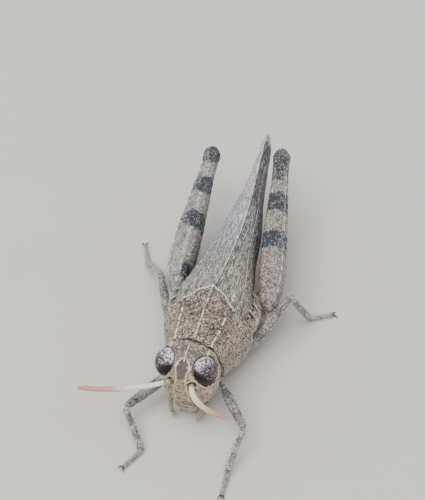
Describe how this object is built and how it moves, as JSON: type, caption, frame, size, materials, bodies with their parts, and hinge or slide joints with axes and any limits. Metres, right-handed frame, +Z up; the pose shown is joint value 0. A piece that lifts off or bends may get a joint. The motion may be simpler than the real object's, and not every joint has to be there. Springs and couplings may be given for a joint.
{
  "type": "grasshopper",
  "caption": "Life-size still model of a grey-brown short-horned grasshopper crouched on its feet, wings folded over its back.",
  "frame": {"origin": "middle of the underside of the bounding box, on the floor that the feet stand on", "axes": "-Y is forward, the way the head faces; +X is the insect's left; +Z is up; the body lies along Y"},
  "size_m": [0.0194, 0.036, 0.0096],
  "materials": {
    "shell": "matt, granular grey-brown cuticle with pale keels and dark specks",
    "flank": "matt grey-brown cuticle with pale sutures and fine hairs",
    "wing": "dry, parchment-like grey with raised veins and brown specks",
    "eye": "smooth and glossy, mottled dark brown to black",
    "antenna": "satin, cream at the base to salmon pink at the tip, in fine rings",
    "mouth": "satin, pale sandy",
    "abdomen": "satin, sandy brown rings with darker rear edges",
    "leg": "matt, mottled grey-brown with pale hairs",
    "hind_femur": "satin, cream-grey with slate-dark bands and a herringbone of raised ridges",
    "hind_tibia": "satin, pinkish red with black-tipped spines",
    "foot": "satin, pinkish tan with dark claws"
  },
  "bodies": {
    "root": {"abdomen": "abdomen", "antenna_left": "antenna", "antenna_right": "antenna", "eye_left": "eye", "eye_right": "eye", "fore_left_coxa": "leg", "fore_left_femur": "leg", "fore_left_tarsus": "foot", "fore_left_tibia": "leg", "fore_right_coxa": "leg", "fore_right_femur": "leg", "fore_right_tarsus": "foot", "fore_right_tibia": "leg", "head": "shell", "hind_left_coxa": "leg", "hind_left_femur": "hind_femur", "hind_left_tarsus": "foot", "hind_left_tibia": "hind_tibia", "hind_right_coxa": "leg", "hind_right_femur": "hind_femur", "hind_right_tarsus": "foot", "hind_right_tibia": "hind_tibia", "jaw_left": "shell", "jaw_right": "shell", "labrum": "mouth", "mid_left_coxa": "leg", "mid_left_femur": "leg", "mid_left_tarsus": "foot", "mid_left_tibia": "leg", "mid_right_coxa": "leg", "mid_right_femur": "leg", "mid_right_tarsus": "foot", "mid_right_tibia": "leg", "ovipositor_left": "abdomen", "ovipositor_right": "abdomen", "palp_left": "mouth", "palp_right": "mouth", "pronotum": "shell", "thorax": "flank", "wing_left": "wing", "wing_right": "wing"}
  },
  "joints": []
}
